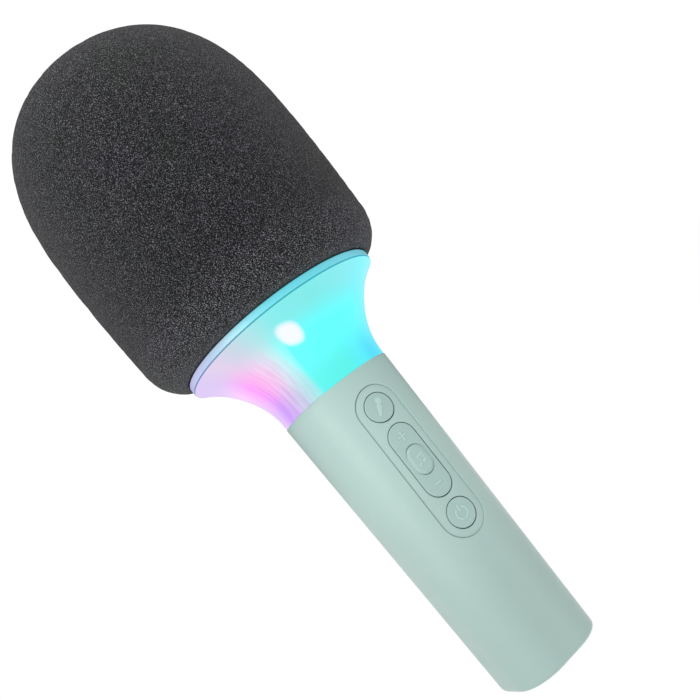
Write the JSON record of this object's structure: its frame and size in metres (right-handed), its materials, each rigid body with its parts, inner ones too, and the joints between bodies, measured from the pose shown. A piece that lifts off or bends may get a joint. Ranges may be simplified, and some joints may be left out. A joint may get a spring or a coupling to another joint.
{
  "type": "toy microphone",
  "caption": "Handheld toy karaoke microphone with a domed foam head, a flared light-up neck and a tapered handle with press keys.",
  "frame": {"origin": "centre of the tail face, where the part stands", "axes": "+Z along the long axis from the tail to the foam head, -Y towards the side with the keys, +X to the right of the keys"},
  "size_m": [0.0934, 0.0934, 0.245],
  "materials": {
    "sage_shell": "satin",
    "key_shell": "satin",
    "foam": "matte",
    "clear_shell": "gloss",
    "rim_band": "gloss",
    "frosted_guide": "matte",
    "basket_plastic": "matte",
    "circuit_board": "satin",
    "chip_black": "matte",
    "white_nylon": "satin",
    "cell_wrap": "satin",
    "screw_steel": "satin",
    "magnet_steel": "matte",
    "cone_paper": "matte",
    "rubber_boot": "matte",
    "light_lens": "satin",
    "lead_sheath": "matte"
  },
  "bodies": {
    "handle": {"handle_barrel": "sage_shell", "control_panel": "sage_shell", "tail_cap": "sage_shell", "tail_cap_screw_1": "screw_steel", "tail_cap_screw_2": "screw_steel", "effect_switch": "chip_black", "plus_switch": "chip_black", "mode_switch": "chip_black", "minus_switch": "chip_black", "power_switch": "chip_black", "main_board": "circuit_board", "board_screw_1": "screw_steel", "board_screw_2": "screw_steel", "board_screw_3": "screw_steel", "board_screw_4": "screw_steel", "inner_chassis": "basket_plastic", "battery_cell": "cell_wrap", "battery_connector": "white_nylon", "wireless_module": "chip_black", "amplifier_chip": "chip_black", "charging_board": "circuit_board", "charging_socket": "screw_steel", "charging_lead": "lead_sheath", "neck_diffuser": "clear_shell", "light_guide": "frosted_guide", "diffuser_collar": "rim_band", "light_board": "circuit_board", "light_emitter_1": "light_lens", "light_emitter_2": "light_lens", "light_emitter_3": "light_lens", "light_emitter_4": "light_lens", "light_emitter_5": "light_lens", "light_emitter_6": "light_lens", "basket_base": "basket_plastic", "basket_cage": "basket_plastic", "capsule_holder": "rubber_boot", "microphone_capsule": "screw_steel", "microphone_lead": "lead_sheath", "speaker_frame": "screw_steel", "speaker_magnet": "magnet_steel", "speaker_cone": "cone_paper", "speaker_screw_1": "screw_steel", "speaker_screw_2": "screw_steel", "speaker_screw_3": "screw_steel", "speaker_screw_4": "screw_steel"},
    "foam_head": {"foam_windscreen": "foam"},
    "effect_button": {"effect_key": "key_shell", "effect_switch_stem": "white_nylon"},
    "volume_button": {"volume_rocker": "key_shell", "plus_switch_stem": "white_nylon", "minus_switch_stem": "white_nylon"},
    "mode_button": {"mode_key": "key_shell", "mode_switch_stem": "white_nylon"},
    "power_button": {"power_key": "key_shell", "power_switch_stem": "white_nylon"}
  },
  "joints": [
    {"name": "foam_pull_off", "type": "slide", "parent": "handle", "child": "foam_head", "axis": [0, 0, 1], "range_m": [0, 0.12]},
    {"name": "effect_press", "type": "slide", "parent": "handle", "child": "effect_button", "axis": [0, 1, 0], "range_m": [0, 0.0005], "stiffness_N_per_m": 3000},
    {"name": "volume_tilt", "type": "hinge", "parent": "handle", "child": "volume_button", "pos_m": [0, -0.0155, 0.072], "axis": [1, 0, 0], "range_deg": [-2.2, 2.2], "stiffness_Nm_per_rad": 0.36},
    {"name": "mode_press", "type": "slide", "parent": "handle", "child": "mode_button", "axis": [0, 1, 0], "range_m": [0, 0.0005], "stiffness_N_per_m": 3000},
    {"name": "power_press", "type": "slide", "parent": "handle", "child": "power_button", "axis": [0, 1, 0], "range_m": [0, 0.0005], "stiffness_N_per_m": 3000}
  ]
}
